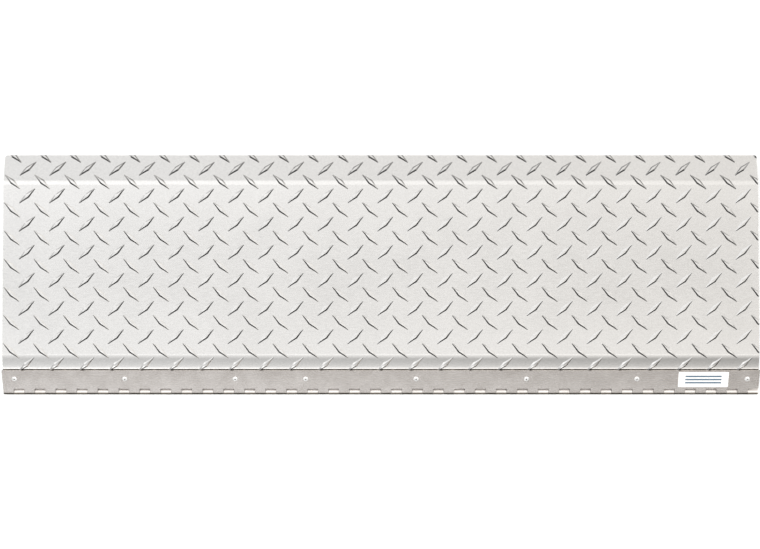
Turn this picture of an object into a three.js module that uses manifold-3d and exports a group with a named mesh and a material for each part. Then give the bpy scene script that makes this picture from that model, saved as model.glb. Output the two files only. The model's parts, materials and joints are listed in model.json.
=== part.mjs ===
// A hinged kick plate: a bent sheet of aluminium tread plate that bridges the step at the foot of a ramp.
// Its flange is riveted under one leaf of a continuous hinge, and the other leaf fastens to the ramp.
// Millimetres. X runs along the hinge pin, +Y points from the hinge to the tip, +Z is up.
// The part stands on z = 0 on its mounting leaf and on the lower edge of its tip.
import * as THREE from 'three';
import { mergeVertices } from 'three/addons/utils/BufferGeometryUtils.js';
import Module from 'manifold-3d';

const wasm = await Module();
wasm.setup();

// Hinge: two alike leaves on one pin, each with every other knuckle.
const hingeLength = 914.4;
const knucklePitch = 25.4;
const knuckleGap = 0.3;
const leafWidth = 31.75;
const leafThickness = 1.5;
const barrelRadius = 3.15;
const curlSweep = THREE.MathUtils.degToRad(290);
const slotDepth = 6.4;
const pinRadius = 1.5;
const pinLength = 913;

// Slopes of the plate's four flats at rest, from the floor, each taken downwards towards its end.
const leafSlope = THREE.MathUtils.degToRad(30);
const shoulderSlope = THREE.MathUtils.degToRad(18);
const tipSlope = THREE.MathUtils.degToRad(20);

// Tread plate: lengths of its flats measured on the upper face, from bend to bend.
const plateWidth = 911.5;
const sheetThickness = 2.5;
const flangeStart = 7.8;
const flangeEnd = 33;
const shoulderLength = 15.6;
const deckLength = 211.4;
const tipLength = 34.6;
const bendRadius = 15;
const bendSteps = 2;
const cornerRadius = 3;

// Raised lugs of the tread, in two families that lean to the right and to the left.
// Pitches and first places are measured on the upper face from its left edge and from the tip.
const lugLength = 26.6;
const lugWidth = 5.7;
const lugHeight = 1.2;
const lugFlank = 0.6;
const lugSunk = 0.5;
const lugAngle = THREE.MathUtils.degToRad(43);
const lugColumnPitch = 36.04;
const lugRowPitch = 34;
const rightLugX = 28.5;
const rightLugRow = 17.8;
const leftLugX = 10.5;
const leftLugRow = 0.8;

// Blind rivets: shank, domed head and the mandrel that stays in the bore.
const rivetPitch = 133.35;
const rivetEndDistance = 14.6;
const rivetsFromLeft = 3;
const rivetsFromRight = 5;
const rivetLine = 20.3;
const rivetHoleRadius = 1.8;
const shankRadius = 1.6;
const headRadius = 3.2;
const headHeight = 1.25;
const bulgeRadius = 2.4;
const bulgeHeight = 2.8;
const boreRadius = 1;
const mandrelRadius = 0.8;
const mandrelBallRadius = 1.4;

// Label on the plate's leaf.
const labelWidth = 60.6;
const labelDepth = 21.5;
const labelThickness = 0.2;
const labelCentreX = 389.6;
const labelCentreY = 19.4;

// Clear space between pieces that are fastened to each other.
const seat = 0.2;

const leafSeat = barrelRadius - leafThickness;
const flangeTop = leafSeat - lugHeight - seat;
const flangeBottom = flangeTop - sheetThickness;

const aluminium = { color: 0xe3e2df, roughness: 0.34, metalness: 1 };
const leafMetal = { color: 0xb4afaa, roughness: 0.5, metalness: 1 };
const steel = { color: 0x8f8f8e, roughness: 0.38, metalness: 1 };
const paper = { color: 0xf3f1ec, roughness: 0.6, metalness: 0 };

function piece(name, geometry, finish) {
  const mesh = new THREE.Mesh(geometry, new THREE.MeshStandardMaterial(finish));
  mesh.name = name;
  return mesh;
}

// A geometry's closed surface as a solid that can be joined and cut.
function toSolid(geometry) {
  const bare = geometry.clone();
  bare.deleteAttribute('normal');
  bare.deleteAttribute('uv');
  const merged = mergeVertices(bare);
  return new wasm.Manifold(new wasm.Mesh({
    numProp: 3,
    vertProperties: new Float32Array(merged.attributes.position.array),
    triVerts: new Uint32Array(merged.index.array),
  }));
}

function toGeometry(solid) {
  const mesh = solid.getMesh();
  const geometry = new THREE.BufferGeometry();
  geometry.setAttribute('position', new THREE.BufferAttribute(mesh.vertProperties, 3));
  geometry.setIndex(new THREE.BufferAttribute(mesh.triVerts, 1));
  geometry.computeVertexNormals();
  return geometry;
}

// A section drawn in the Y-Z plane and drawn out along X, centred on x = 0.
function alongX(points, length) {
  const outline = new THREE.Shape(points);
  const geometry = new THREE.ExtrudeGeometry(outline, { depth: length, bevelEnabled: false });
  const sectionToWorld = new THREE.Matrix4().makeBasis(
    new THREE.Vector3(0, 1, 0),
    new THREE.Vector3(0, 0, 1),
    new THREE.Vector3(1, 0, 0),
  );
  return geometry.applyMatrix4(sectionToWorld).translate(-length / 2, 0, 0);
}

// A box given by its lowest and highest corners.
function block(low, high) {
  const size = high.clone().sub(low);
  const middle = low.clone().add(high).multiplyScalar(0.5);
  return new THREE.BoxGeometry(size.x, size.y, size.z).translate(middle.x, middle.y, middle.z);
}

// Upright turned shape: profile points are [radius, height].
function turned(profile, sides) {
  const points = profile.map(([radius, height]) => new THREE.Vector2(radius, height));
  return new THREE.LatheGeometry(points, sides).rotateX(Math.PI / 2);
}

function arc(centreX, centreY, radius, from, sweep, steps) {
  return Array.from({ length: steps + 1 }, (_, step) => {
    const angle = from + (sweep * step) / steps;
    return new THREE.Vector2(centreX + radius * Math.cos(angle), centreY + radius * Math.sin(angle));
  });
}

// Rivets stand at one pitch from both ends, which leaves one shorter gap between them.
function rivetPositions() {
  const endX = hingeLength / 2 - rivetEndDistance;
  const fromLeft = Array.from({ length: rivetsFromLeft }, (_, index) => -endX + index * rivetPitch);
  const fromRight = Array.from({ length: rivetsFromRight }, (_, index) => endX - index * rivetPitch);
  return [...fromLeft, ...fromRight.reverse()];
}

function holes(positions, lowZ, highZ) {
  const height = highZ - lowZ;
  return positions.map((x) => {
    const drill = new THREE.CylinderGeometry(rivetHoleRadius, rivetHoleRadius, height, 12);
    return toSolid(drill.rotateX(Math.PI / 2).translate(x, rivetLine, (lowZ + highZ) / 2));
  });
}

function cutAll(body, cutters) {
  return cutters.reduce((rest, cutter) => rest.subtract(cutter), body);
}

// Hinge leaf, flat in +Y from the pin axis at the origin, outer face up, its knuckles curled under.
// The other leaf is the same piece turned end for end, so its knuckles fill this one's slots.
function leafGeometry(holePositions) {
  const section = [
    new THREE.Vector2(leafWidth, leafSeat),
    new THREE.Vector2(leafWidth, barrelRadius),
    ...arc(0, 0, barrelRadius, Math.PI / 2, curlSweep, 9),
    ...arc(0, 0, leafSeat, Math.PI / 2 + curlSweep, -curlSweep, 8),
  ];
  const slots = [];
  for (let left = -hingeLength / 2; left < hingeLength / 2 - 1; left += knucklePitch) {
    const low = new THREE.Vector3(left + (knucklePitch - knuckleGap) / 2, -10, -10);
    const high = new THREE.Vector3(left + knucklePitch + knuckleGap / 2, slotDepth, 10);
    slots.push(toSolid(block(low, high)));
  }
  const body = toSolid(alongX(section, hingeLength));
  return toGeometry(cutAll(body, [...slots, ...holes(holePositions, 0, 5)]));
}

function pinGeometry() {
  return new THREE.CylinderGeometry(pinRadius, pinRadius, pinLength, 12).rotateZ(Math.PI / 2);
}

// The deck's slope is what brings the tip's lower edge down to the floor.
function deckSlope() {
  const heightOf = (y, z) => barrelRadius + y * Math.sin(leafSlope) + z * Math.cos(leafSlope);
  const shoulderTop = heightOf(flangeEnd, flangeTop) + shoulderLength * Math.sin(shoulderSlope);
  const tipDrop = tipLength * Math.sin(tipSlope) + sheetThickness * Math.cos(tipSlope);
  return Math.asin((shoulderTop - tipDrop) / deckLength);
}

// The upper face from the flange's free end to the tip, in the leaf's frame, as flats and round bends.
// Every bend turns downwards. A flat has no radius.
function plateStretches() {
  const runs = [
    { length: flangeEnd - flangeStart, heading: 0 },
    { length: shoulderLength, heading: shoulderSlope - leafSlope },
    { length: deckLength, heading: -deckSlope() - leafSlope },
    { length: tipLength, heading: -tipSlope - leafSlope },
  ];
  const stretches = [];
  const point = new THREE.Vector2(flangeStart, flangeTop);
  let distance = 0;
  let setbackBefore = 0;
  runs.forEach(({ length, heading }, index) => {
    const turn = index + 1 < runs.length ? heading - runs[index + 1].heading : 0;
    const setback = bendRadius * Math.tan(turn / 2);
    const flat = length - setbackBefore - setback;
    stretches.push({ from: distance, length: flat, start: point.clone(), heading });
    point.add(new THREE.Vector2(Math.cos(heading), Math.sin(heading)).multiplyScalar(flat));
    distance += flat;
    if (turn > 0) {
      const centre = point.clone().add(
        new THREE.Vector2(Math.sin(heading), -Math.cos(heading)).multiplyScalar(bendRadius),
      );
      stretches.push({ from: distance, length: bendRadius * turn, start: point.clone(), heading, centre });
      point.rotateAround(centre, -turn);
      distance += bendRadius * turn;
    }
    setbackBefore = setback;
  });
  return stretches;
}

const stretches = plateStretches();
const plateLength = stretches.at(-1).from + stretches.at(-1).length;

// The point at a distance along the upper face from the flange's free end, and at a height above it.
function onPlate(distance, height) {
  const { from, start, heading, centre } = stretches.findLast((stretch) => stretch.from <= distance)
    ?? stretches[0];
  const up = new THREE.Vector2(-Math.sin(heading), Math.cos(heading));
  if (centre) {
    const angle = heading + Math.PI / 2 - (distance - from) / bendRadius;
    const out = new THREE.Vector2(Math.cos(angle), Math.sin(angle));
    return centre.clone().add(out.multiplyScalar(bendRadius + height));
  }
  const along = new THREE.Vector2(Math.cos(heading), Math.sin(heading));
  return start.clone().add(along.multiplyScalar(distance - from)).add(up.multiplyScalar(height));
}

// The bent sheet's section: the upper face and, parallel to it, the lower face.
function plateSection() {
  const distances = stretches.flatMap(({ from, length, centre }) => (
    centre ? Array.from({ length: bendSteps }, (_, step) => from + (length * step) / bendSteps) : [from]
  ));
  distances.push(plateLength);
  const upper = distances.map((distance) => onPlate(distance, 0));
  const lower = distances.map((distance) => onPlate(distance, -sheetThickness));
  return [...upper, ...lower.reverse()];
}

// One raised lug: a long diamond with sloping sides, its foot sunk into the sheet.
// Its length leans to the right towards the tip for a lean of 1, and to the left for -1.
function lugCorners(centreX, distance, lean) {
  const ring = (halfLength, halfWidth, height) => (
    [[halfLength, 0], [0, halfWidth], [-halfLength, 0], [0, -halfWidth]].map(([along, across]) => {
      const x = along * Math.cos(lugAngle) - lean * across * Math.sin(lugAngle);
      const y = lean * along * Math.sin(lugAngle) + across * Math.cos(lugAngle);
      const foot = onPlate(distance + y, height);
      return [centreX + x, foot.x, foot.y];
    })
  );
  const foot = ring(lugLength / 2 + lugFlank, lugWidth / 2 + lugFlank, -lugSunk);
  const crest = ring(lugLength / 2 - 2 * lugFlank, lugWidth / 2 - lugFlank, lugHeight);
  return [...foot, ...crest];
}

// Both families of lugs, row by row from the tip, each row starting at its own distance from the left.
function lugsGeometry() {
  const positions = [];
  const indices = [];
  const family = (firstX, firstRow, lean) => {
    for (let row = firstRow; row < plateLength; row += lugRowPitch) {
      for (let x = firstX; x < plateWidth + 1; x += lugColumnPitch) {
        const base = positions.length / 3;
        positions.push(...lugCorners(x - plateWidth / 2, plateLength - row, lean).flat());
        indices.push(base, base + 3, base + 2, base, base + 2, base + 1);
        indices.push(base + 4, base + 5, base + 7, base + 5, base + 6, base + 7);
        for (let side = 0; side < 4; side += 1) {
          const next = (side + 1) % 4;
          indices.push(base + side, base + next, base + 4 + next);
          indices.push(base + side, base + 4 + next, base + 4 + side);
        }
      }
    }
  };
  family(rightLugX, rightLugRow, 1);
  family(leftLugX, leftLugRow, -1);
  const geometry = new THREE.BufferGeometry();
  geometry.setAttribute('position', new THREE.Float32BufferAttribute(positions, 3));
  geometry.setIndex(indices);
  return geometry;
}

// Plan of the sheet seen square to its tip, with both corners of the tip rounded.
function plateOutline(reach) {
  const half = plateWidth / 2;
  return new THREE.Shape([
    new THREE.Vector2(-half, 0),
    new THREE.Vector2(half, 0),
    ...arc(half - cornerRadius, reach - cornerRadius, cornerRadius, 0, Math.PI / 2, 4),
    ...arc(cornerRadius - half, reach - cornerRadius, cornerRadius, Math.PI / 2, Math.PI / 2, 4),
  ]);
}

function treadPlateGeometry() {
  const sheet = toSolid(alongX(plateSection(), plateWidth));
  const { heading } = stretches.at(-1);
  const reach = onPlate(plateLength, 0).rotateAround(new THREE.Vector2(), -heading).x;
  const stencil = new THREE.ExtrudeGeometry(plateOutline(reach), { depth: 800, bevelEnabled: false });
  const shearedFlange = block(new THREE.Vector3(-500, flangeStart, -500), new THREE.Vector3(500, 500, 500));
  const trimmed = sheet
    .add(toSolid(lugsGeometry()))
    .intersect(toSolid(stencil.translate(0, 0, -400).rotateX(heading)))
    .intersect(toSolid(shearedFlange));
  return toGeometry(cutAll(trimmed, holes(rivetPositions(), flangeBottom - 1, leafSeat)));
}

// Blind rivet set through leaf and flange. Height 0 is the leaf's outer face.
function rivetGeometry() {
  const bulgeTop = flangeBottom - barrelRadius - seat;
  const blindEnd = bulgeTop - bulgeHeight;
  return turned([
    [boreRadius, blindEnd],
    [bulgeRadius - 0.6, blindEnd],
    [bulgeRadius, (bulgeTop + blindEnd) / 2],
    [bulgeRadius - 0.3, bulgeTop],
    [shankRadius, bulgeTop],
    [shankRadius, seat],
    [headRadius, seat],
    [headRadius - 0.1, seat + 0.3],
    [headRadius - 0.9, headHeight - 0.25],
    [boreRadius + 0.5, headHeight],
    [boreRadius, headHeight],
    [boreRadius, blindEnd],
  ], 12);
}

// Mandrel left in the rivet: its stem broken off below the head, its ball against the blind end.
function mandrelGeometry() {
  const ballTop = flangeBottom - barrelRadius - 2 * seat - bulgeHeight;
  return turned([
    [0, ballTop - 1.1],
    [mandrelBallRadius - 0.5, ballTop - 0.9],
    [mandrelBallRadius, ballTop - 0.35],
    [mandrelBallRadius - 0.3, ballTop],
    [mandrelRadius, ballTop],
    [mandrelRadius, 0.3],
    [0, 0.45],
  ], 10);
}

function labelGeometry() {
  return new THREE.BoxGeometry(labelWidth, labelDepth, labelThickness);
}

// Mounting leaf: flat on the floor, turned end for end about Y so that its outer face is down.
const fixedSide = new THREE.Group();
const mountLeaf = piece('mount_leaf', leafGeometry(rivetPositions().map((x) => -x)), leafMetal);
mountLeaf.rotation.y = Math.PI;
fixedSide.add(mountLeaf, piece('hinge_pin', pinGeometry(), steel));

// Everything that swings with the plate, drawn with its leaf level and then raised about the pin.
const swingingSide = new THREE.Group();
swingingSide.rotation.x = leafSlope;
swingingSide.add(piece('plate_leaf', leafGeometry(rivetPositions()), leafMetal));
swingingSide.add(piece('tread_plate', treadPlateGeometry(), aluminium));
rivetPositions().forEach((x, index) => {
  const rivet = piece(`rivet_${index + 1}`, rivetGeometry(), aluminium);
  const mandrel = piece(`rivet_mandrel_${index + 1}`, mandrelGeometry(), steel);
  rivet.position.set(x, rivetLine, barrelRadius);
  mandrel.position.set(x, rivetLine, barrelRadius);
  swingingSide.add(rivet, mandrel);
});
const label = piece('label', labelGeometry(), paper);
label.position.set(labelCentreX, labelCentreY, barrelRadius + (seat + labelThickness) / 2);
swingingSide.add(label);

// The whole part, its origin on the floor under the middle of its bounding box.
const kickPlate = new THREE.Group();
kickPlate.add(fixedSide, swingingSide);
fixedSide.position.z = barrelRadius;
swingingSide.position.z = barrelRadius;
const extent = new THREE.Box3().setFromObject(kickPlate, true);
kickPlate.position.y = -(extent.min.y + extent.max.y) / 2;

export default kickPlate;
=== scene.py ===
import json
import math
import bmesh
import bpy
from mathutils import Matrix, Vector


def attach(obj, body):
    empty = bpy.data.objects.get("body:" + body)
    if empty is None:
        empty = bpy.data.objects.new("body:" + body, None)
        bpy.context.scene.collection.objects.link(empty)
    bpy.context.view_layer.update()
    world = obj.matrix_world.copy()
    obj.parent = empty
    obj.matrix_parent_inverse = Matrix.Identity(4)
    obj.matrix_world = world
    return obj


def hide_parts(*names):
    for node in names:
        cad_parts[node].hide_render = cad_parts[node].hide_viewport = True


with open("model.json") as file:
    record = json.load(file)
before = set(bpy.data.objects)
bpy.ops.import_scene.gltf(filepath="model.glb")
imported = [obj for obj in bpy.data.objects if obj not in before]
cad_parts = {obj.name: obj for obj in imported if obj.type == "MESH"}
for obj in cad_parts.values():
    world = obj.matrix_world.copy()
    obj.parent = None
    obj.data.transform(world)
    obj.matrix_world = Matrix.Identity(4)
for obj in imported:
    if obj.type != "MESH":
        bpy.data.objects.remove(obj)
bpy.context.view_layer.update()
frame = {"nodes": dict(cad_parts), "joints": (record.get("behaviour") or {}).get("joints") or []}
print("frame loaded:", len(frame["nodes"]), "nodes")

mm = 0.001
pinAxis = Vector(frame["joints"][0]["pos_m"])

hinge = {
    "length": 914.4,          # every length here is in millimetres
    "pitch": 25.4,            # one knuckle of each leaf
    "knuckles": 36,           # of each leaf
    "gap": 0.3,               # between neighbouring knuckles
    "leafWidth": 31.75,       # from the pin's axis
    "thickness": 1.5,
    "barrelRadius": 3.15,
    "curl": 290,              # degrees that a knuckle is rolled round the pin
    "slotDepth": 6.4,         # from the pin's axis
    "slotCorner": 0.9,
    "cutterReach": 10.0,      # past everything that the slots and holes are cut through
    "slope": 30,              # of the plate's leaf above the floor, in degrees
    "edgeBreak": 0.2,
    "edgeSegments": 2,
    "sharpAngle": 40,
    "curlSteps": (24, 20),    # round the outside and the inside of a knuckle
    "bloom": (0.12, 0.5),     # how much of the light the plate's and the ramp's leaf scatter
    # painted shade: a dark brown colour down the front of the barrel, where it turns under away from the
    # light
    "barrelShade": (0.7, 1.6),        # where it starts and is full, in front of the pin's axis
    "barrelShadeColour": "7A7164",
}
leafSeat = hinge["barrelRadius"] - hinge["thickness"]

# From a leaf lying level with the pin at its origin, in millimetres, to its place on the part.
plateSide = (Matrix.Translation(pinAxis) @ Matrix.Rotation(math.radians(hinge["slope"]), 4, "X")
             @ Matrix.Scale(mm, 4))
rampSide = Matrix.Translation(pinAxis) @ Matrix.Rotation(math.pi, 4, "Y") @ Matrix.Scale(mm, 4)


def srgb(hexColour):
    channels = [int(hexColour[i:i + 2], 16) / 255 for i in (0, 2, 4)]
    return [c / 12.92 if c <= 0.04045 else ((c + 0.055) / 1.055) ** 2.4 for c in channels] + [1.0]


def addNode(tree, kind, settings=None, links=None):
    # settings are the node's own properties or its inputs' values, links are {input: (node, output)}
    node = tree.nodes.new(kind)
    for key, value in (settings or {}).items():
        if isinstance(key, str) and hasattr(node, key):
            setattr(node, key, value)
        else:
            node.inputs[key].default_value = value
    for key, (source, output) in (links or {}).items():
        tree.links.new(source.outputs[output], node.inputs[key])
    return node


def meshObject(name, bm):
    bmesh.ops.recalc_face_normals(bm, faces=bm.faces)
    mesh = bpy.data.meshes.new(name)
    bm.to_mesh(mesh)
    bm.free()
    piece = bpy.data.objects.new(name, mesh)
    bpy.context.scene.collection.objects.link(piece)
    return piece


def settle(piece, name):
    # the evaluated piece as a plain mesh in a new object, with the old one removed
    graph = bpy.context.evaluated_depsgraph_get()
    mesh = bpy.data.meshes.new_from_object(piece.evaluated_get(graph))
    mesh.name = name
    old = piece.data
    bpy.data.objects.remove(piece)
    bpy.data.meshes.remove(old)
    plain = bpy.data.objects.new(name, mesh)
    bpy.context.scene.collection.objects.link(plain)
    return plain


def discard(*pieces):
    for piece in pieces:
        bpy.data.objects.remove(piece)


def smooth(piece, sharpAngle):
    piece.data.shade_smooth()
    piece.data.set_sharp_from_angle(angle=math.radians(sharpAngle))


def arc(centreX, centreY, radius, start, sweep, steps):
    angles = [start + sweep * step / steps for step in range(steps + 1)]
    return [(centreX + radius * math.cos(a), centreY + radius * math.sin(a)) for a in angles]


def prism(name, outline, low, high, along="Z"):
    # outline drawn out between two heights, or along X from a section in Y and Z
    bm = bmesh.new()
    rings = []
    for level in (low, high):
        corners = [(x, y, level) if along == "Z" else (level, x, y) for x, y in outline]
        rings.append([bm.verts.new(corner) for corner in corners])
    bm.faces.new(rings[0])
    bm.faces.new(rings[1])
    for i in range(len(outline)):
        j = (i + 1) % len(outline)
        bm.faces.new((rings[0][i], rings[0][j], rings[1][j], rings[1][i]))
    return meshObject(name, bm)


def turned(name, profile, sides, closed):
    # profile points are (radius, height); an open profile starts and ends on the axis
    bm = bmesh.new()
    rings = []
    for radius, height in profile:
        if radius == 0:
            rings.append([bm.verts.new((0, 0, height))] * sides)
            continue
        angles = [2 * math.pi * k / sides for k in range(sides)]
        rings.append([bm.verts.new((radius * math.cos(a), radius * math.sin(a), height)) for a in angles])
    pairs = list(zip(rings, rings[1:])) + ([(rings[-1], rings[0])] if closed else [])
    for lower, upper in pairs:
        for i in range(sides):
            j = (i + 1) % sides
            corners = list(dict.fromkeys((lower[i], lower[j], upper[j], upper[i])))
            bm.faces.new(corners)
    return meshObject(name, bm)


def newTree(title, sockets):
    tree = bpy.data.node_groups.new(title, "GeometryNodeTree")
    tree.interface.new_socket("Geometry", in_out="INPUT", socket_type="NodeSocketGeometry")
    for name, kind in sockets:
        tree.interface.new_socket(name, in_out="INPUT", socket_type="NodeSocket" + kind)
    tree.interface.new_socket("Geometry", in_out="OUTPUT", socket_type="NodeSocketGeometry")
    return tree, tree.nodes.new("NodeGroupInput")


def finishTree(tree, given, shape, output):
    # every tree ends with its instances made real and the piece's material
    real = addNode(tree, "GeometryNodeRealizeInstances", links={"Geometry": (shape, output)})
    painted = addNode(tree, "GeometryNodeSetMaterial",
                      links={"Geometry": (real, 0), "Material": (given, "Material")})
    addNode(tree, "NodeGroupOutput", links={"Geometry": (painted, 0)})
    return tree


def grow(base, tree, values, name):
    # runs a tree on a base object and keeps its result as a plain mesh
    modifier = base.modifiers.new(tree.name, "NODES")
    modifier.node_group = tree
    for item in tree.interface.items_tree:
        if item.in_out == "INPUT" and item.name in values:
            modifier[item.identifier] = values[item.name]
    base.update_tag()
    return settle(base, name)


def keep(piece, body, slot, *nodes):
    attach(piece, body)
    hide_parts(*nodes)


def newMaterial(name):
    material = bpy.data.materials.new(name)
    material.use_nodes = True
    tree = material.node_tree
    return material, tree, tree.nodes["Principled BSDF"], addNode(tree, "ShaderNodeTexCoord")


# Rolled aluminium tread plate: bright and nearly mirror-smooth, a little cloudy from the rolls,
# with a fine speckle and a grain that dulls its reflections.
def rolledAluminium():
    material, tree, shader, place = newMaterial("rolled aluminium")
    clouds = addNode(tree, "ShaderNodeTexNoise", {"Scale": 1 / (55 * mm), "Detail": 3.0},
                     {"Vector": (place, "Object")})
    speckle = addNode(tree, "ShaderNodeTexNoise", {"Scale": 1 / (2.4 * mm), "Detail": 2.0},
                      {"Vector": (place, "Object")})
    along = addNode(tree, "ShaderNodeMapping", {"Scale": (1 / (8 * mm), 1 / (0.9 * mm), 1 / (0.9 * mm))},
                    {"Vector": (place, "Object")})
    grain = addNode(tree, "ShaderNodeTexNoise", {"Scale": 1.0, "Detail": 4.0}, {"Vector": (along, 0)})
    cloudTone = addNode(tree, "ShaderNodeMapRange", {1: 0.3, 2: 0.7, 3: 0.2, 4: 0.4}, {0: (clouds, 0)})
    speckleTone = addNode(tree, "ShaderNodeMapRange", {1: 0.3, 2: 0.7, 3: 0.0, 4: 0.5}, {0: (speckle, 0)})
    tone = addNode(tree, "ShaderNodeMath", {}, {0: (cloudTone, 0), 1: (speckleTone, 0)})
    colour = addNode(tree, "ShaderNodeMix", {"data_type": "RGBA", 6: srgb("EDEBE8"), 7: srgb("FBF9F6")},
                     {0: (tone, 0)})
    cloudDull = addNode(tree, "ShaderNodeMapRange", {1: 0.3, 2: 0.7, 3: 0.0, 4: 0.02}, {0: (clouds, 0)})
    grainDull = addNode(tree, "ShaderNodeMapRange", {1: 0.3, 2: 0.7, 3: 0.13, 4: 0.19}, {0: (grain, 0)})
    dull = addNode(tree, "ShaderNodeMath", {}, {0: (cloudDull, 0), 1: (grainDull, 0)})
    bump = addNode(tree, "ShaderNodeBump", {"Strength": 0.08, "Distance": 0.01 * mm},
                   {"Height": (grain, 0)})
    tree.links.new(colour.outputs[2], shader.inputs["Base Color"])
    tree.links.new(dull.outputs[0], shader.inputs["Roughness"])
    tree.links.new(bump.outputs[0], shader.inputs["Normal"])
    shader.inputs["Metallic"].default_value = 1.0
    return material


# Cold rolled hinge strip: duller and warmer than the plate, greyer towards its free edge as painted shade,
# with a bloom that scatters part of the light, fine speckle, lines along its length, and painted brown
# shade down the front of the barrel.
def rolledStrip(name, bloom):
    material, tree, shader, place = newMaterial(name)
    clouds = addNode(tree, "ShaderNodeTexNoise", {"Scale": 1 / (18 * mm), "Detail": 3.0},
                     {"Vector": (place, "Object")})
    speckle = addNode(tree, "ShaderNodeTexNoise", {"Scale": 1 / (1.6 * mm), "Detail": 2.0},
                      {"Vector": (place, "Object")})
    along = addNode(tree, "ShaderNodeMapping", {"Scale": (1 / (45 * mm), 1 / (0.45 * mm), 1 / (0.45 * mm))},
                    {"Vector": (place, "Object")})
    lines = addNode(tree, "ShaderNodeTexNoise", {"Scale": 1.0, "Detail": 5.0}, {"Vector": (along, 0)})
    cloudTone = addNode(tree, "ShaderNodeMapRange", {1: 0.3, 2: 0.7, 3: 0.0, 4: 0.5}, {0: (clouds, 0)})
    speckleTone = addNode(tree, "ShaderNodeMapRange", {1: 0.3, 2: 0.7, 3: 0.0, 4: 0.5}, {0: (speckle, 0)})
    mottle = addNode(tree, "ShaderNodeMath", {}, {0: (cloudTone, 0), 1: (speckleTone, 0)})
    axes = addNode(tree, "ShaderNodeSeparateXYZ", {}, {0: (place, "Object")})
    # painted shade: the strip is made greyer towards its free edge, in place of light falling off across
    # the leaf
    free = pinAxis.y + hinge["leafWidth"] * mm
    paintedEdgeShade = addNode(tree, "ShaderNodeMapRange", {1: free, 2: pinAxis.y, 3: -0.35, 4: 0.35},
                    {0: (axes, "Y")})
    tone = addNode(tree, "ShaderNodeMath", {"use_clamp": True}, {0: (mottle, 0), 1: (paintedEdgeShade, 0)})
    colour = addNode(tree, "ShaderNodeMix", {"data_type": "RGBA", 6: srgb("D7D0CA"), 7: srgb("F6F0EB")},
                     {0: (tone, 0)})
    # painted shade: the front of the barrel is coloured dark brown, where it turns under away from the
    # light
    shadeStart, shadeFull = [pinAxis.y - distance * mm for distance in hinge["barrelShade"]]
    barrelShadeMask = addNode(tree, "ShaderNodeMapRange", {1: shadeStart, 2: shadeFull}, {0: (axes, "Y")})
    barrelShaded = addNode(tree, "ShaderNodeMix", {"data_type": "RGBA", 7: srgb(hinge["barrelShadeColour"])},
                    {0: (barrelShadeMask, 0), 6: (colour, 2)})
    dull = addNode(tree, "ShaderNodeMapRange", {1: 0.3, 2: 0.7, 3: 0.21, 4: 0.29}, {0: (lines, 0)})
    bump = addNode(tree, "ShaderNodeBump", {"Strength": 0.15, "Distance": 0.02 * mm},
                   {"Height": (lines, 0)})
    tree.links.new(barrelShaded.outputs[2], shader.inputs["Base Color"])
    tree.links.new(dull.outputs[0], shader.inputs["Roughness"])
    tree.links.new(bump.outputs[0], shader.inputs["Normal"])
    shader.inputs["Metallic"].default_value = 1 - bloom
    return material


# Drawn steel wire: smooth and mid grey, with lines along the draw.
def drawnSteel():
    material, tree, shader, place = newMaterial("drawn steel wire")
    along = addNode(tree, "ShaderNodeMapping", {"Scale": (1 / (30 * mm), 1 / (0.3 * mm), 1 / (0.3 * mm))},
                    {"Vector": (place, "Object")})
    lines = addNode(tree, "ShaderNodeTexNoise", {"Scale": 1.0, "Detail": 4.0}, {"Vector": (along, 0)})
    colour = addNode(tree, "ShaderNodeMix", {"data_type": "RGBA", 6: srgb("8D8B88"), 7: srgb("A3A19D")},
                     {0: (lines, 0)})
    dull = addNode(tree, "ShaderNodeMapRange", {1: 0.3, 2: 0.7, 3: 0.28, 4: 0.4}, {0: (lines, 0)})
    tree.links.new(colour.outputs[2], shader.inputs["Base Color"])
    tree.links.new(dull.outputs[0], shader.inputs["Roughness"])
    shader.inputs["Metallic"].default_value = 1.0
    return material


# Tumbled aluminium: the pale, matte, softly dimpled head of a blind rivet.
def tumbledAluminium():
    material, tree, shader, place = newMaterial("tumbled aluminium")
    dimples = addNode(tree, "ShaderNodeTexNoise", {"Scale": 1 / (1.1 * mm), "Detail": 2.0},
                      {"Vector": (place, "Object")})
    colour = addNode(tree, "ShaderNodeMix", {"data_type": "RGBA", 6: srgb("EFEEEC"), 7: srgb("FCFBF9")},
                     {0: (dimples, 0)})
    dull = addNode(tree, "ShaderNodeMapRange", {1: 0.3, 2: 0.7, 3: 0.4, 4: 0.5}, {0: (dimples, 0)})
    bump = addNode(tree, "ShaderNodeBump", {"Strength": 0.2, "Distance": 0.04 * mm},
                   {"Height": (dimples, 0)})
    tree.links.new(colour.outputs[2], shader.inputs["Base Color"])
    tree.links.new(dull.outputs[0], shader.inputs["Roughness"])
    tree.links.new(bump.outputs[0], shader.inputs["Normal"])
    shader.inputs["Metallic"].default_value = 0.3
    return material


# Phosphated steel: a rivet's mandrel, almost black, rough where it snapped.
def phosphatedSteel():
    material, tree, shader, place = newMaterial("phosphated steel")
    crystals = addNode(tree, "ShaderNodeTexNoise", {"Scale": 1 / (0.35 * mm), "Detail": 4.0},
                       {"Vector": (place, "Object")})
    colour = addNode(tree, "ShaderNodeMix", {"data_type": "RGBA", 6: srgb("2B2A29"), 7: srgb("4A4846")},
                     {0: (crystals, 0)})
    dull = addNode(tree, "ShaderNodeMapRange", {1: 0.3, 2: 0.7, 3: 0.4, 4: 0.65}, {0: (crystals, 0)})
    bump = addNode(tree, "ShaderNodeBump", {"Strength": 0.6, "Distance": 0.06 * mm},
                   {"Height": (crystals, 0)})
    tree.links.new(colour.outputs[2], shader.inputs["Base Color"])
    tree.links.new(dull.outputs[0], shader.inputs["Roughness"])
    tree.links.new(bump.outputs[0], shader.inputs["Normal"])
    shader.inputs["Metallic"].default_value = 1.0
    return material


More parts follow.
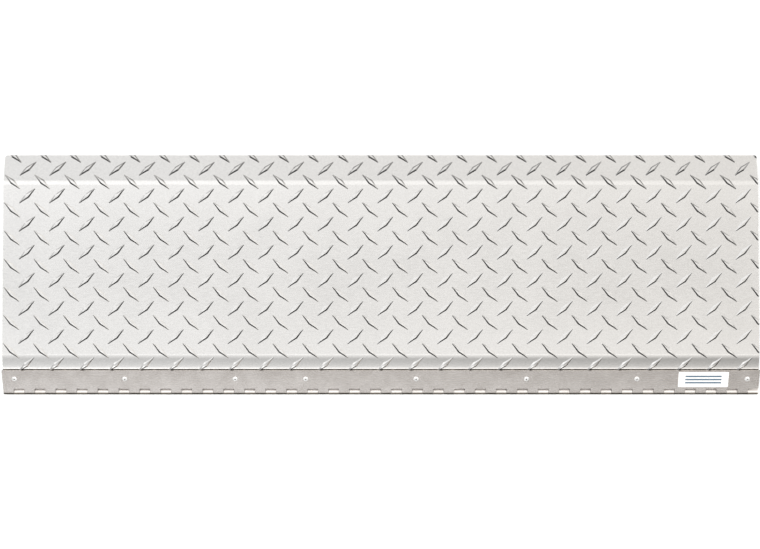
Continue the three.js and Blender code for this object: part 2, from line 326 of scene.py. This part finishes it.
# Printed vinyl: a satin white film with plain slate bars and no lettering.
def printedVinyl():
    material, tree, shader, place = newMaterial("printed vinyl")
    uv = addNode(tree, "ShaderNodeSeparateXYZ", {}, {0: (place, "UV")})
    film = addNode(tree, "ShaderNodeTexNoise", {"Scale": 1 / (4 * mm), "Detail": 3.0},
                   {"Vector": (place, "Object")})
    colour = addNode(tree, "ShaderNodeMix", {"data_type": "RGBA", 6: srgb("F1F0ED"), 7: srgb("FBFAF8")},
                     {0: (film, 0)})
    for ink, left, right, low, high in label["bars"]:
        inside = None
        for axis, operation, limit in (("X", "GREATER_THAN", left), ("X", "LESS_THAN", right),
                                       ("Y", "GREATER_THAN", low), ("Y", "LESS_THAN", high)):
            test = addNode(tree, "ShaderNodeMath", {"operation": operation, 1: limit}, {0: (uv, axis)})
            if inside:
                test = addNode(tree, "ShaderNodeMath", {"operation": "MULTIPLY"},
                               {0: (inside, 0), 1: (test, 0)})
            inside = test
        colour = addNode(tree, "ShaderNodeMix", {"data_type": "RGBA", 7: srgb(ink)},
                         {0: (inside, 0), 6: (colour, 2)})
    dull = addNode(tree, "ShaderNodeMapRange", {1: 0.3, 2: 0.7, 3: 0.35, 4: 0.45}, {0: (film, 0)})
    tree.links.new(colour.outputs[2], shader.inputs["Base Color"])
    tree.links.new(dull.outputs[0], shader.inputs["Roughness"])
    return material


tread = {
    "width": 911.5,
    "thickness": 2.5,
    "flangeStart": 7.8,       # from the pin's axis, along the leaf
    "flangeEnd": 33.0,
    "shoulder": (15.6, 18),   # length on the upper face, and slope in degrees
    "shoulderBow": 6,         # degrees that the short shoulder is bowed by the brake
    "deck": 211.4,
    "tip": (34.6, 20),
    "bendRadii": (20.0, 21.0, 28.0),   # at the shoulder's foot and head, and at the tip
    "bendSteps": 8,
    "cornerRadius": 3.0,
    "sharpAngle": 22,
    "lugClearance": 1.4,      # from the sheet up to the leaf that rests on the lugs
    "oversize": 2.0,          # of the blank, before the stencil trims it
}

lug = {
    "length": 26.8,           # where it meets the sheet
    "width": 6.4,
    # a quarter of its foot and of its crown, from the tip to the waist, as parts of the half length
    # and half width, and the crown's height
    "foot": [(1.0, 0.0), (0.97, 0.22), (0.5, 0.56), (0.1, 0.92), (0.0, 1.0)],
    "crown": [(0.945, 0.0, 0.36), (0.93, 0.02, 0.4), (0.6, 0.03, 1.15), (0.1, 0.36, 1.2),
              (0.0, 0.42, 1.2)],
    "crest": 1.26,
    "root": 0.12,             # depth below the sheet's face, and how much wider it is there
    "columns": 26,
    "rows": 9,
    "columnPitch": 36.04,
    "rowPitch": 34.0,
    "rightLean": (28.5, 17.8),   # first lug from the sheet's left edge, and from its tip
    "leftLean": (10.5, 0.8),
    "angle": 43,
    "variation": 0.02,
    "seed": 4,
}


def layStretches():
    # the upper face from the flange's free end to the tip, as flats and round bends
    flangeTop = leafSeat - tread["lugClearance"]
    leafSlope = math.radians(hinge["slope"])
    shoulderLength, shoulderSlope = tread["shoulder"][0], math.radians(tread["shoulder"][1])
    tipLength, tipSlope = tread["tip"][0], math.radians(tread["tip"][1])
    rise = tread["flangeEnd"] * math.sin(leafSlope) + flangeTop * math.cos(leafSlope)
    shoulderTop = hinge["barrelRadius"] + rise + shoulderLength * math.sin(shoulderSlope)
    tipDrop = tipLength * math.sin(tipSlope) + tread["thickness"] * math.cos(tipSlope)
    deckSlope = math.asin((shoulderTop - tipDrop) / tread["deck"])
    # each flat's length, its heading in the leaf's frame, and how much it is bowed
    flats = [
        (tread["flangeEnd"] - tread["flangeStart"], 0.0, 0.0),
        (shoulderLength, shoulderSlope - leafSlope, math.radians(tread["shoulderBow"])),
        (tread["deck"], -deckSlope - leafSlope, 0.0),
        (tipLength, -tipSlope - leafSlope, 0.0),
    ]
    stretches = []
    point = Vector((tread["flangeStart"], flangeTop))
    distance = setbackBefore = 0.0
    for i, (length, heading, bow) in enumerate(flats):
        turn = 0.0
        if i + 1 < len(flats):
            turn = heading - bow / 2 - flats[i + 1][1] - flats[i + 1][2] / 2
        radius = tread["bendRadii"][i] if turn else 0.0
        setback = radius * math.tan(turn / 2)
        length -= setbackBefore + setback
        for start, stretch, curl in ((heading + bow / 2, length, bow),
                                     (heading - bow / 2, radius * turn, turn)):
            if not stretch:
                continue
            stretches.append((distance, stretch, point.copy(), start, curl))
            chord = 2 * stretch / curl * math.sin(curl / 2) if curl else stretch
            middle = start - curl / 2
            point += Vector((math.cos(middle), math.sin(middle))) * chord
            distance += stretch
        setbackBefore = setback
    return stretches


stretches = layStretches()
plateLength = stretches[-1][0] + stretches[-1][1]


def onPlate(distance, height):
    # a point at a distance along the upper face and a height above it, and the slope there
    start, length, point, heading, turn = [s for s in stretches if s[0] <= max(distance, 0.0)][-1]
    if not turn:
        along = Vector((math.cos(heading), math.sin(heading)))
        up = Vector((-along.y, along.x))
        return point + along * (distance - start) + up * height, heading
    radius = length / turn
    centre = point + Vector((math.sin(heading), -math.cos(heading))) * radius
    slope = heading - (distance - start) / radius
    out = Vector((-math.sin(slope), math.cos(slope)))
    return centre + out * (radius + height), slope


def makeLug():
    # a pressed lug: a long diamond with slightly hollow sides, sloping walls and a low crown
    bm = bmesh.new()
    halfLength, halfWidth = lug["length"] / 2, lug["width"] / 2

    def ring(quarter, grown):
        half = quarter + [(-x, y, z) for x, y, z in quarter[-2:0:-1]]
        around = half + [(-x, -y, z) for x, y, z in half]
        return [bm.verts.new((x * (halfLength + grown), y * (halfWidth + grown), z)) for x, y, z in around]

    foot = ring([(x, y, -lug["root"]) for x, y in lug["foot"]], lug["root"])
    crown = ring(lug["crown"], 0.0)
    crest = bm.verts.new((0, 0, lug["crest"]))
    sides = len(foot)
    bm.faces.new(foot)
    for i in range(sides):
        j = (i + 1) % sides
        bm.faces.new((foot[i], foot[j], crown[j], crown[i]))
    top = []
    for tip in (0, sides // 2):
        before, left, end, right, after = [crown[(tip + step) % sides] for step in (-2, -1, 0, 1, 2)]
        bm.faces.new((left, end, right))
        bm.faces.new((before, left, right, after))
        top += [crown[(tip + step) % sides] for step in range(2, sides // 2 - 1)]
    for i in range(len(top)):
        bm.faces.new((top[i], top[(i + 1) % len(top)], crest))
    return meshObject("lug", bm)


def makeBlank():
    # the sheet before it is bent, a little oversize, with lines across it wherever it will be round
    over = tread["oversize"]
    lines = [-over]
    for start, length, point, heading, turn in stretches:
        if turn:
            lines += [start + length * step / tread["bendSteps"] for step in range(tread["bendSteps"] + 1)]
    lines.append(plateLength + over)
    outline = [(y, 0.0) for y in lines] + [(y, -tread["thickness"]) for y in reversed(lines)]
    half = tread["width"] / 2 + over
    blank = prism("blank", outline, -half, half, along="X")
    bm = bmesh.new()
    bm.from_mesh(blank.data)
    ends = [face for face in bm.faces if len(face.verts) > 4]
    bmesh.ops.triangulate(bm, faces=ends)
    bm.to_mesh(blank.data)
    bm.free()
    return blank


def makeStencil():
    half, r = tread["width"] / 2, tread["cornerRadius"]
    outline = [(-half, 0.0), (half, 0.0)]
    outline += arc(half - r, plateLength - r, r, 0, math.pi / 2, 8)
    outline += arc(r - half, plateLength - r, r, math.pi / 2, math.pi / 2, 8)
    return prism("stencil", outline, -20, 20)


def treadTree():
    tree, given = newTree("tread plate", [
        ("Stencil", "Object"), ("Lug", "Object"), ("Columns", "Int"), ("Rows", "Int"),
        ("Column Pitch", "Float"), ("Row Pitch", "Float"), ("Right Lean Start", "Vector"),
        ("Left Lean Start", "Vector"), ("Lug Angle", "Float"), ("Variation", "Float"),
        ("Seed", "Int"), ("Material", "Material"),
    ])
    stencil = addNode(tree, "GeometryNodeObjectInfo", links={"Object": (given, "Stencil")})
    shape = addNode(tree, "GeometryNodeObjectInfo", links={"Object": (given, "Lug")})
    across = addNode(tree, "ShaderNodeCombineXYZ", links={"X": (given, "Column Pitch")})
    back = addNode(tree, "ShaderNodeMath", {"operation": "MULTIPLY", 1: -1.0}, {0: (given, "Row Pitch")})
    down = addNode(tree, "ShaderNodeCombineXYZ", links={"Y": (back, 0)})
    smallest = addNode(tree, "ShaderNodeMath", {"operation": "SUBTRACT", 0: 1.0}, {1: (given, "Variation")})
    largest = addNode(tree, "ShaderNodeMath", {"operation": "ADD", 0: 1.0}, {1: (given, "Variation")})
    family = []
    for corner, lean in (("Right Lean Start", 1.0), ("Left Lean Start", -1.0)):
        row = addNode(tree, "GeometryNodeMeshLine", {"mode": "OFFSET"},
                      {"Count": (given, "Columns"), "Offset": (across, 0),
                       "Start Location": (given, corner)})
        column = addNode(tree, "GeometryNodeMeshLine", {"mode": "OFFSET"},
                         {"Count": (given, "Rows"), "Offset": (down, 0)})
        lattice = addNode(tree, "GeometryNodeInstanceOnPoints",
                          links={"Points": (row, 0), "Instance": (column, 0)})
        places = addNode(tree, "GeometryNodeRealizeInstances", links={"Geometry": (lattice, 0)})
        angle = addNode(tree, "ShaderNodeMath", {"operation": "MULTIPLY", 1: lean},
                        {0: (given, "Lug Angle")})
        turn = addNode(tree, "ShaderNodeCombineXYZ", links={"Z": (angle, 0)})
        size = addNode(tree, "FunctionNodeRandomValue", {"data_type": "FLOAT"},
                       {2: (smallest, 0), 3: (largest, 0), "Seed": (given, "Seed")})
        family.append(addNode(tree, "GeometryNodeInstanceOnPoints",
                              links={"Points": (places, 0), "Instance": (shape, "Geometry"),
                                     "Rotation": (turn, 0), "Scale": (size, 1)}))
    lugs = addNode(tree, "GeometryNodeJoinGeometry", links={"Geometry": (family[0], 0)})
    tree.links.new(family[1].outputs[0], lugs.inputs[0])
    solid = addNode(tree, "GeometryNodeRealizeInstances", links={"Geometry": (lugs, 0)})
    union = addNode(tree, "GeometryNodeMeshBoolean", {"operation": "UNION", "solver": "MANIFOLD"},
                    {1: (given, "Geometry")})
    tree.links.new(solid.outputs[0], union.inputs[1])
    sheared = addNode(tree, "GeometryNodeMeshBoolean", {"operation": "INTERSECT", "solver": "MANIFOLD"},
                      {1: (union, 0)})
    tree.links.new(stencil.outputs["Geometry"], sheared.inputs[1])
    return finishTree(tree, given, sheared, 0)


def bend(piece):
    # rolls the flat plate round its bends, keeping the shading that it has while flat
    mesh = piece.data
    smooth(piece, tread["sharpAngle"])
    flat = [abs(face.normal.z) > 0.99999 for face in mesh.polygons]
    normals = [corner.vector.copy() for corner in mesh.corner_normals]
    for face in mesh.polygons:
        if flat[face.index]:
            for loop in face.loop_indices:
                normals[loop] = face.normal.copy()
    slopes = []
    for vertex in mesh.vertices:
        point, slope = onPlate(vertex.co.y, vertex.co.z)
        vertex.co = plateSide @ Vector((vertex.co.x, point.x, point.y))
        slopes.append(slope + math.radians(hinge["slope"]))
    for loop in mesh.loops:
        turn = Matrix.Rotation(slopes[loop.vertex_index], 3, "X")
        normals[loop.index] = turn @ normals[loop.index]
    mesh.update()
    mesh.normals_split_custom_set(normals)


def makeTreadPlate():
    stencil, shape, blank = makeStencil(), makeLug(), makeBlank()
    left = -tread["width"] / 2
    values = {
        "Stencil": stencil,
        "Lug": shape,
        "Columns": lug["columns"],
        "Rows": lug["rows"],
        "Column Pitch": lug["columnPitch"],
        "Row Pitch": lug["rowPitch"],
        "Right Lean Start": (left + lug["rightLean"][0], plateLength - lug["rightLean"][1], 0.0),
        "Left Lean Start": (left + lug["leftLean"][0], plateLength - lug["leftLean"][1], 0.0),
        "Lug Angle": math.radians(lug["angle"]),
        "Variation": lug["variation"],
        "Seed": lug["seed"],
        "Material": rolledAluminium(),
    }
    plate = grow(blank, treadTree(), values, "bent_tread_plate")
    discard(stencil, shape)
    bend(plate)
    keep(plate, "plate_side", "tread_aluminium", "tread_plate")
    print("tread plate:", len(plate.data.polygons), "faces")


rivets = {
    "pitch": 133.35,
    "endDistance": 14.6,
    "fromLeft": 3,
    "fromRight": 5,
    "line": 20.3,             # from the pin's axis
    "hole": 1.8,              # this and the next ones down are radii and heights
    "holeSides": 32,
    "shank": 1.6,
    "head": 3.2,
    "headHeight": 1.3,
    "bore": 0.95,
    "bulge": 2.4,
    "bulgeHeight": 2.8,
    "mandrel": 0.85,
    "sides": 40,
    "sharpAngle": 40,
    "grip": hinge["thickness"] + tread["lugClearance"] + tread["thickness"],
}


runSockets = [("End", "Float"), ("Line", "Float"), ("Pitch", "Float"), ("From Left", "Int"),
              ("From Right", "Int"), ("Height", "Float")]


def rivetRuns():
    # points at one pitch, counted in from both ends of the hinge
    tree, given = newTree("rivet runs", runSockets)
    runs = addNode(tree, "GeometryNodeJoinGeometry")
    for side, count in ((-1.0, "From Left"), (1.0, "From Right")):
        end = addNode(tree, "ShaderNodeMath", {"operation": "MULTIPLY", 1: side}, {0: (given, "End")})
        step = addNode(tree, "ShaderNodeMath", {"operation": "MULTIPLY", 1: -side}, {0: (given, "Pitch")})
        start = addNode(tree, "ShaderNodeCombineXYZ",
                        links={"X": (end, 0), "Y": (given, "Line"), "Z": (given, "Height")})
        offset = addNode(tree, "ShaderNodeCombineXYZ", links={"X": (step, 0)})
        run = addNode(tree, "GeometryNodeMeshLine", {"mode": "OFFSET"},
                      {"Count": (given, count), "Start Location": (start, 0), "Offset": (offset, 0)})
        tree.links.new(run.outputs[0], runs.inputs[0])
    addNode(tree, "NodeGroupOutput", links={"Geometry": (runs, 0)})
    return tree


def rivetPlaces(tree, given, runs):
    places = addNode(tree, "GeometryNodeGroup", {"node_tree": runs})
    for name, kind in runSockets:
        tree.links.new(given.outputs[name], places.inputs[name])
    return places


def runValues(height, flipped=False):
    left, right = rivets["fromLeft"], rivets["fromRight"]
    return {
        "End": hinge["length"] / 2 - rivets["endDistance"],
        "Line": rivets["line"],
        "Pitch": rivets["pitch"],
        "From Left": right if flipped else left,
        "From Right": left if flipped else right,
        "Height": height,
    }


def leafTree(runs):
    tree, given = newTree("hinge leaf", [
        ("Slot", "Object"), ("Drill", "Object"), ("Knuckles", "Int"), ("Knuckle Pitch", "Float"),
        ("First Slot", "Float"), ("Material", "Material"),
    ] + runSockets)
    slot = addNode(tree, "GeometryNodeObjectInfo", links={"Object": (given, "Slot")})
    drill = addNode(tree, "GeometryNodeObjectInfo", links={"Object": (given, "Drill")})
    start = addNode(tree, "ShaderNodeCombineXYZ", links={"X": (given, "First Slot")})
    offset = addNode(tree, "ShaderNodeCombineXYZ", links={"X": (given, "Knuckle Pitch")})
    comb = addNode(tree, "GeometryNodeMeshLine", {"mode": "OFFSET"},
                   {"Count": (given, "Knuckles"), "Start Location": (start, 0), "Offset": (offset, 0)})
    slots = addNode(tree, "GeometryNodeInstanceOnPoints",
                    links={"Points": (comb, 0), "Instance": (slot, "Geometry")})
    drills = addNode(tree, "GeometryNodeInstanceOnPoints",
                     links={"Points": (rivetPlaces(tree, given, runs), 0), "Instance": (drill, "Geometry")})
    cutters = addNode(tree, "GeometryNodeJoinGeometry", links={"Geometry": (slots, 0)})
    tree.links.new(drills.outputs[0], cutters.inputs[0])
    solid = addNode(tree, "GeometryNodeRealizeInstances", links={"Geometry": (cutters, 0)})
    cut = addNode(tree, "GeometryNodeMeshBoolean", {"operation": "DIFFERENCE", "solver": "MANIFOLD"},
                  {0: (given, "Geometry"), 1: (solid, 0)})
    return finishTree(tree, given, cut, 0)


def leafSection():
    # from above the leaf lies level with its outer face up, its end rolled under round the pin
    outer, inner = hinge["barrelRadius"], leafSeat
    curl = math.radians(hinge["curl"])
    section = [(hinge["leafWidth"], inner), (hinge["leafWidth"], outer)]
    section += arc(0, 0, outer, math.pi / 2, curl, hinge["curlSteps"][0])
    section += arc(0, 0, inner, math.pi / 2 + curl, -curl, hinge["curlSteps"][1])
    return section


def slotOutline():
    half = (hinge["pitch"] + hinge["gap"] * 2) / 4
    r, depth = hinge["slotCorner"], hinge["slotDepth"]
    outline = [(-half, -hinge["cutterReach"]), (half, -hinge["cutterReach"])]
    outline += arc(half - r, depth - r, r, 0, math.pi / 2, 5)
    outline += arc(r - half, depth - r, r, math.pi / 2, math.pi / 2, 5)
    return outline


def makeLeaf(name, node, body, place, runs, bloom, flipped):
    half = hinge["length"] / 2
    strip = prism("strip", leafSection(), -half, half, along="X")
    reach = hinge["cutterReach"]
    drillProfile = [(0, -reach), (rivets["hole"], -reach), (rivets["hole"], reach), (0, reach)]
    slot = prism("slot", slotOutline(), -reach, reach)
    drill = turned("drill", drillProfile, rivets["holeSides"], False)
    values = {
        "Slot": slot,
        "Drill": drill,
        "Knuckles": hinge["knuckles"],
        "Knuckle Pitch": hinge["pitch"],
        "First Slot": -half + hinge["pitch"] * 3 / 4,
        "Material": rolledStrip(name.split("_")[0] + " rolled strip", bloom),
        **runValues(0.0, flipped),
    }
    leaf = grow(strip, leafTree(runs), values, name)
    discard(slot, drill)
    edges = leaf.modifiers.new("broken edges", "BEVEL")
    edges.width = hinge["edgeBreak"]
    edges.segments = hinge["edgeSegments"]
    edges.limit_method = "ANGLE"
    edges.angle_limit = math.radians(hinge["sharpAngle"])
    leaf = settle(leaf, name)
    leaf.data.shade_smooth()
    level = leaf.modifiers.new("level faces", "WEIGHTED_NORMAL")
    level.weight = 100        # the wide faces stay flat and only their broken edges turn
    leaf = settle(leaf, name)
    leaf.data.transform(place)
    keep(leaf, body, "leaf_metal", node)
    print(name + ":", len(leaf.data.polygons), "faces")


pin = {
    "length": 913.0,
    "radius": 1.5,
    "chamfer": 0.35,
    "sides": 32,
    "sharpAngle": 40,
}


def makePin():
    r, half, chamfer = pin["radius"], pin["length"] / 2, pin["chamfer"]
    profile = [(0, -half), (r - chamfer, -half), (r, chamfer - half), (r, half - chamfer),
               (r - chamfer, half), (0, half)]
    wire = turned("hinge_wire", profile, pin["sides"], False)
    wire.data.transform(plateSide @ Matrix.Rotation(math.pi / 2, 4, "Y"))
    wire.data.materials.append(drawnSteel())
    smooth(wire, pin["sharpAngle"])
    keep(wire, "plate_side", "pin_steel", "hinge_pin")
    print("hinge wire:", len(wire.data.polygons), "faces")


def rowTree(runs):
    tree, given = newTree("rivet row", [("Piece", "Object"), ("Material", "Material")] + runSockets)
    piece = addNode(tree, "GeometryNodeObjectInfo", links={"Object": (given, "Piece")})
    row = addNode(tree, "GeometryNodeInstanceOnPoints",
                  links={"Points": (rivetPlaces(tree, given, runs), 0), "Instance": (piece, "Geometry")})
    return finishTree(tree, given, row, 0)


def rivetProfile():
    # radius and height above the leaf's outer face, round a ring that is open down its middle
    head, top, bore, shank = rivets["head"], rivets["headHeight"], rivets["bore"], rivets["shank"]
    grip = -rivets["grip"]
    end = grip - rivets["bulgeHeight"]
    profile = [(shank, grip), (shank, 0.0), (head - 0.15, 0.0), (head, 0.14)]
    angles = [math.radians(degrees) for degrees in (12, 24, 36, 48, 58, 66)]
    profile += [(head * math.cos(a), 0.14 + (top - 0.14) * math.sin(a)) for a in angles]
    profile += [(bore + 0.12, top), (bore, top - 0.14), (bore, end)]
    bulge = rivets["bulge"]
    profile += [(shank - 0.1, end), (shank + 0.25, end + 0.3), (bulge, (grip + end) / 2 + 0.3),
                (bulge, (grip + end) / 2 + 0.9), (bulge - 0.25, grip - 0.1)]
    return profile


def mandrelProfile():
    # a stem snapped off inside the head, down to the ball that swelled the blind end
    ball = -rivets["grip"] - rivets["bulgeHeight"]
    r = rivets["mandrel"]
    return [(0, ball - 1.25), (0.6, ball - 1.2), (1.1, ball - 0.95), (1.38, ball - 0.5), (1.3, ball - 0.1),
            (r, ball), (r, 0.1), (r - 0.12, 0.35), (r - 0.4, 0.28), (0, 0.5)]


def makeRivets(runs):
    for name, node, slot, profile, closed, material in (
        ("blind_rivets", "rivet_", "rivet_aluminium", rivetProfile(), True, tumbledAluminium()),
        ("broken_mandrels", "rivet_mandrel_", "mandrel_steel", mandrelProfile(), False, phosphatedSteel()),
    ):
        single = turned("single", profile, rivets["sides"], closed)
        smooth(single, rivets["sharpAngle"])
        base = meshObject("base", bmesh.new())
        values = {"Piece": single, "Material": material, **runValues(hinge["barrelRadius"])}
        row = grow(base, rowTree(runs), values, name)
        discard(single)
        row.data.transform(plateSide)
        count = rivets["fromLeft"] + rivets["fromRight"]
        keep(row, "plate_side", slot, *[node + str(i + 1) for i in range(count)])
        print(name.replace("_", " ") + ":", len(row.data.polygons), "faces")


label = {
    "width": 60.6,
    "depth": 21.5,
    "centre": (389.6, 19.4),  # along the hinge, and from the pin's axis
    "lift": 0.01,
    "thickness": 0.12,
    "corner": 1.2,
    "bars": [                 # ink, then left, right, low and high as parts of the label
        ("5F7486", 0.14, 0.86, 0.66, 0.76),
        ("5F7486", 0.14, 0.86, 0.45, 0.55),
        ("5F7486", 0.14, 0.86, 0.24, 0.34),
    ],
}


def makeLabel():
    halfWidth, halfDepth, r = label["width"] / 2, label["depth"] / 2, label["corner"]
    outline = []
    for turn, (x, y) in enumerate(((1, 1), (-1, 1), (-1, -1), (1, -1))):
        outline += arc(x * (halfWidth - r), y * (halfDepth - r), r, turn * math.pi / 2, math.pi / 2, 6)
    sticker = prism("vinyl_label", outline, 0, label["thickness"])
    uv = sticker.data.uv_layers.new(name="print")
    for loop in sticker.data.loops:
        point = sticker.data.vertices[loop.vertex_index].co
        uv.data[loop.index].uv = (point.x / label["width"] + 0.5, point.y / label["depth"] + 0.5)
    x, y = label["centre"]
    sticker.data.transform(plateSide @ Matrix.Translation((x, y, hinge["barrelRadius"] + label["lift"])))
    sticker.data.materials.append(printedVinyl())
    keep(sticker, "plate_side", "label_paper", "label")


studio = {
    "floor": 12.0,            # every length here is in metres
    "floorDrop": 0.0002,
    "floorColours": ("F4F4F2", "F7F7F5"),
    "wallColour": "FAFAF9",
    "cameraDistance": 2.8,
    "sensorWidth": 36,        # in millimetres
    "clipEnd": 50,
    "viewWidth": 0.9232,      # that the camera takes in at the height of the floor
    "cameraSide": -0.001,
    # the sky in degrees from straight up, towards the tip or, below 0, towards the hinge, with its
    # brightness over the left and the right end of the part
    "sky": [(-90, 0.1, 0.1), (-73, 0.06, 0.06), (-67, 0.7, 0.43), (-61, 0.76, 0.48),
            (-57, 0.95, 0.63), (-54, 1.7, 1.2), (-48, 1.6, 1.15), (-44, 0.84, 0.58),
            (-32, 0.66, 0.37), (-20, 0.78, 0.6), (-8, 0.91, 0.84), (2.5, 1.26, 1.19),
            (5.0, 0.52, 0.46), (8, 1.05, 0.93), (9.5, 1.22, 0.98), (28, 1.18, 0.93),
            (33, 0.83, 0.78), (60, 0.93, 0.86), (76, 1.04, 0.98), (86, 0.4, 0.38), (90, 0.3, 0.28)],
    "sides": ((0.975, 0.985, 1.0), (1.0, 0.985, 0.965)),   # tints of the left and the right end
    "sideSpan": 0.16,
    # black flags stand at both sides towards the hinge and give the lugs their dark flanks, and
    # grey screens close the two ends: where each starts and is full, and its brightness
    "flagsSideways": (0.22, 0.32),
    "flagsTowardsHinge": (0.05, -0.08),
    "flagLevel": 0.04,
    "screensSideways": (0.86, 0.94),
    "screenLevel": 0.25,
    "suns": [((-0.8, 0.2, 1.0), 1.2), ((0.8, 0.2, 1.0), 1.1), ((0.0, 0.0, 1.0), 1.3)],
    "sunSpread": 40,
}


def makeFloor():
    half = studio["floor"] / 2
    bm = bmesh.new()
    corners = [bm.verts.new((x * half, y * half, -studio["floorDrop"]))
               for x, y in ((-1, -1), (1, -1), (1, 1), (-1, 1))]
    bm.faces.new(corners)
    floor = meshObject("floor", bm)
    material, tree, shader, place = newMaterial("studio floor")
    clouds = addNode(tree, "ShaderNodeTexNoise", {"Scale": 1 / (400 * mm)}, {"Vector": (place, "Object")})
    dark, light = [srgb(colour) for colour in studio["floorColours"]]
    tone = addNode(tree, "ShaderNodeMix", {"data_type": "RGBA", 6: dark, 7: light}, {0: (clouds, 0)})
    tree.links.new(tone.outputs[2], shader.inputs["Base Color"])
    shader.inputs["Roughness"].default_value = 0.9
    shader.inputs["Specular IOR Level"].default_value = 0.1
    floor.data.materials.append(material)
    floor.visible_glossy = False


def makeSky():
    # a ring of soft boxes over the part, as bands of light that run along X
    world = bpy.data.worlds.new("soft boxes")
    bpy.context.scene.world = world
    world.use_nodes = True
    tree = world.node_tree
    back = tree.nodes["Background"]
    place = addNode(tree, "ShaderNodeTexCoord")
    axes = addNode(tree, "ShaderNodeSeparateXYZ", links={0: (place, "Generated")})
    angle = addNode(tree, "ShaderNodeMath", {"operation": "ARCTAN2"}, {0: (axes, "Y"), 1: (axes, "Z")})
    along = addNode(tree, "ShaderNodeMapRange",
                    {"From Min": -math.pi / 2, "From Max": math.pi / 2}, {"Value": (angle, 0)})
    span = studio["sideSpan"]
    across = addNode(tree, "ShaderNodeMapRange", {"From Min": -span, "From Max": span},
                     {"Value": (axes, "X")})
    brightest = max(max(levels) for degrees, *levels in studio["sky"])
    both = addNode(tree, "ShaderNodeMix", {"data_type": "RGBA"})
    tree.links.new(across.outputs[0], both.inputs[0])
    for side, tint in enumerate(studio["sides"]):
        ramp = addNode(tree, "ShaderNodeValToRGB", links={0: (along, 0)})
        stops = ramp.color_ramp.elements
        while len(stops) < len(studio["sky"]):
            stops.new(0.5)
        for stop, (degrees, *levels) in zip(stops, studio["sky"]):
            stop.position = (degrees + 90) / 180
            stop.color = [levels[side] / brightest * channel for channel in tint] + [1]
        tree.links.new(ramp.outputs[0], both.inputs[6 + side])
    sideways = addNode(tree, "ShaderNodeMath", {"operation": "ABSOLUTE"}, {0: (axes, "X")})
    flagStart, flagFull = studio["flagsSideways"]
    beside = addNode(tree, "ShaderNodeMapRange", {1: flagStart, 2: flagFull}, {0: (sideways, 0)})
    flagStart, flagFull = studio["flagsTowardsHinge"]
    behind = addNode(tree, "ShaderNodeMapRange", {1: flagStart, 2: flagFull}, {0: (axes, "Y")})
    flag = addNode(tree, "ShaderNodeMath", {"operation": "MULTIPLY"}, {0: (beside, 0), 1: (behind, 0)})
    screenStart, screenFull = studio["screensSideways"]
    screen = addNode(tree, "ShaderNodeMapRange", {1: screenStart, 2: screenFull}, {0: (sideways, 0)})
    sky = both
    for cover, level in ((flag, studio["flagLevel"]), (screen, studio["screenLevel"])):
        sky = addNode(tree, "ShaderNodeMix", {"data_type": "RGBA", 7: [level] * 3 + [1]},
                      {0: (cover, 0), 6: (sky, 2)})
    # the wall that the camera sees beyond the floor is plain
    path = addNode(tree, "ShaderNodeLightPath")
    wall = [channel / brightest for channel in srgb(studio["wallColour"])[:3]] + [1]
    sky = addNode(tree, "ShaderNodeMix", {"data_type": "RGBA", 7: wall},
                  {0: (path, "Is Camera Ray"), 6: (sky, 2)})
    tree.links.new(sky.outputs[2], back.inputs["Color"])
    back.inputs["Strength"].default_value = brightest


def makeSuns():
    for i, (direction, strength) in enumerate(studio["suns"]):
        sun = bpy.data.lights.new("soft sun " + str(i + 1), "SUN")
        sun.energy = strength
        sun.angle = math.radians(studio["sunSpread"])
        lamp = bpy.data.objects.new(sun.name, sun)
        lamp.rotation_mode = "QUATERNION"
        lamp.rotation_quaternion = Vector(direction).to_track_quat("Z", "Y")
        lamp.visible_glossy = False
        bpy.context.scene.collection.objects.link(lamp)


def makeCamera():
    camera = bpy.data.cameras.new("camera")
    camera.sensor_width = studio["sensorWidth"]
    distance = studio["cameraDistance"]
    camera.lens = camera.sensor_width * distance / studio["viewWidth"]
    camera.clip_end = studio["clipEnd"]
    eye = bpy.data.objects.new("camera", camera)
    eye.location = (studio["cameraSide"], 0.0, distance)
    bpy.context.scene.collection.objects.link(eye)
    bpy.context.scene.camera = eye


makeTreadPlate()
runs = rivetRuns()
makeLeaf("dull_leaf", "plate_leaf", "plate_side", plateSide, runs, hinge["bloom"][0], False)
makeLeaf("bright_leaf", "mount_leaf", "ramp_side", rampSide, runs, hinge["bloom"][1], True)
makePin()
makeRivets(runs)
makeLabel()
print("part made")
makeFloor()
makeSky()
makeSuns()
makeCamera()
bpy.context.scene.view_settings.view_transform = "Standard"
print("studio made")
